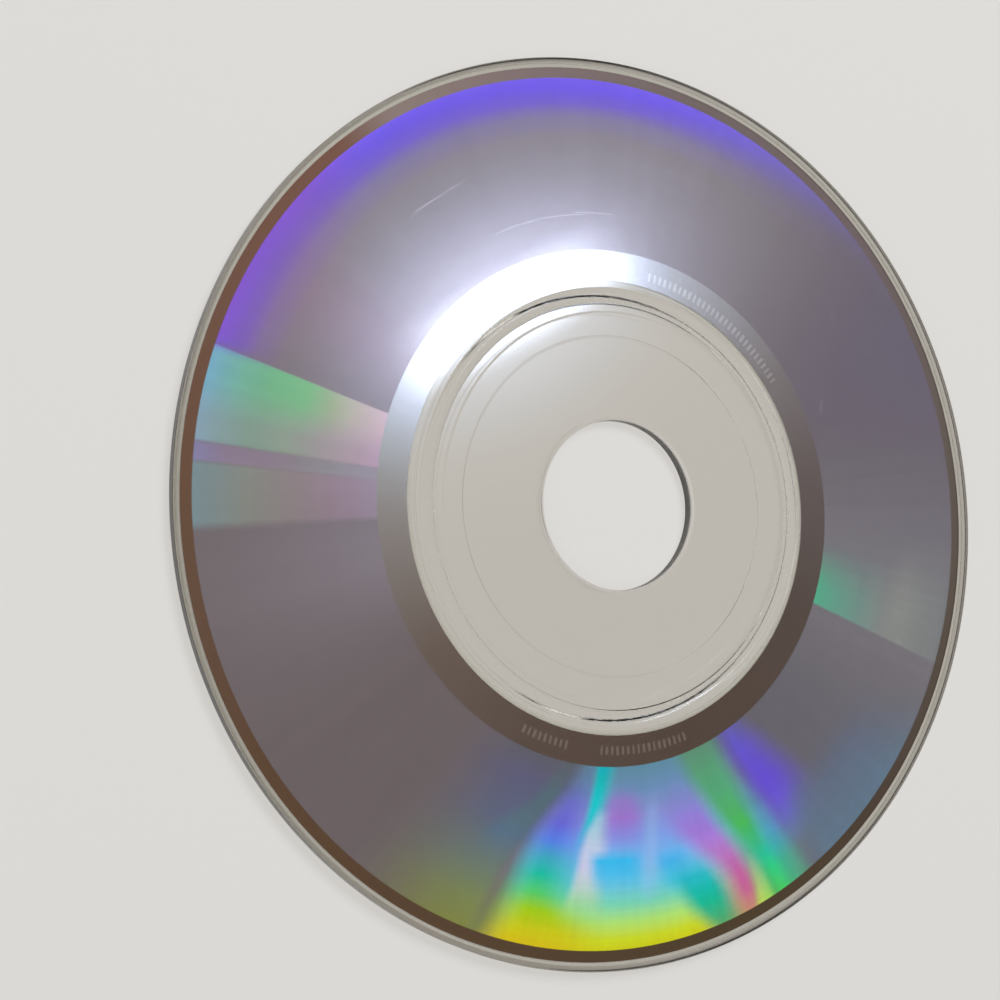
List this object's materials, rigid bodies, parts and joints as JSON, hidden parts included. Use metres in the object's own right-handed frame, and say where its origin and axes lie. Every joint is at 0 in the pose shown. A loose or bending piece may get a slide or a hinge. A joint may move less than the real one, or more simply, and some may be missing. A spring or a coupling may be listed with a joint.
{
  "type": "optical disc",
  "caption": "Small-format optical audio disc: clear moulded plate with a centre hole, raised stacking ring and a sealed reflective layer.",
  "frame": {"origin": "on the disc's axis, in the plane that the label side lies on", "axes": "+Z along the axis, out of the data side; +X and +Y are any two square directions in the disc's plane"},
  "size_m": [0.08, 0.08, 0.0014],
  "materials": {
    "clear_plastic": "clear polycarbonate, polished by the mould",
    "mirror_metal": "vapour-deposited aluminium with a fine spiral of pits",
    "lacquer": "clear gloss protective lacquer"
  },
  "bodies": {
    "root": {"clear_disc": "clear_plastic", "reflective_layer": "mirror_metal", "protective_lacquer": "lacquer"}
  },
  "joints": []
}
